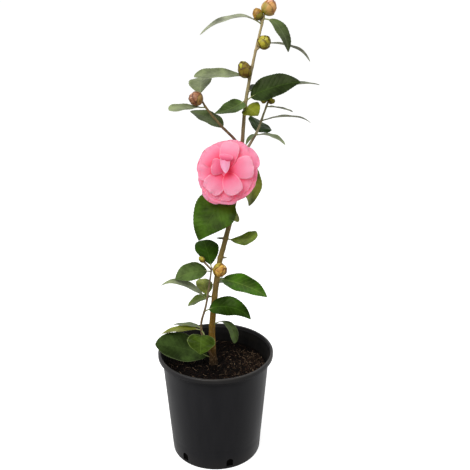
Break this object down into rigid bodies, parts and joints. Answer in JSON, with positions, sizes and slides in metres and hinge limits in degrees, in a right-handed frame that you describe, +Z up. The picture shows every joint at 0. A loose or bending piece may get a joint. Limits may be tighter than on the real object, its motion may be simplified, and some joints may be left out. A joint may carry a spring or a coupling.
{
  "type": "potted camellia shrub",
  "caption": "Young camellia in a round nursery pot: leaning slender trunk with side shoots, leathery leaves, fat flower buds and an open double bloom.",
  "frame": {"origin": "middle of the pot's flat underside, on the pot's axis", "axes": "+Z up along the pot's axis, -Y towards the front where the bloom faces, +X to the right"},
  "size_m": [0.2712, 0.2, 0.7716],
  "materials": {
    "pot": "satin black",
    "mix": "moist bark chips",
    "bark": "thin tan bark",
    "shoot": "young bark",
    "foliage": "glossy leaf",
    "petals": "soft petal"
  },
  "bodies": {
    "root": {"pot": "pot", "potting_mix": "mix", "trunk": "bark", "leader": "shoot", "left_shoot": "shoot", "right_shoot": "shoot", "low_shoot": "shoot", "leader_foliage": "foliage", "left_foliage": "foliage", "right_foliage": "foliage", "foot_foliage": "foliage", "low_foliage": "foliage", "leaf_over_rim": "foliage", "leaf_over_mix": "foliage", "leaf_low_left": "foliage", "leaf_low_right": "foliage", "leaf_low_back": "foliage", "leaf_curled": "foliage", "leaf_mid_back": "foliage", "leaf_under_bloom": "foliage", "leaf_behind_bloom": "foliage", "leaf_beside_bloom": "foliage", "bloom": "petals"}
  },
  "joints": []
}
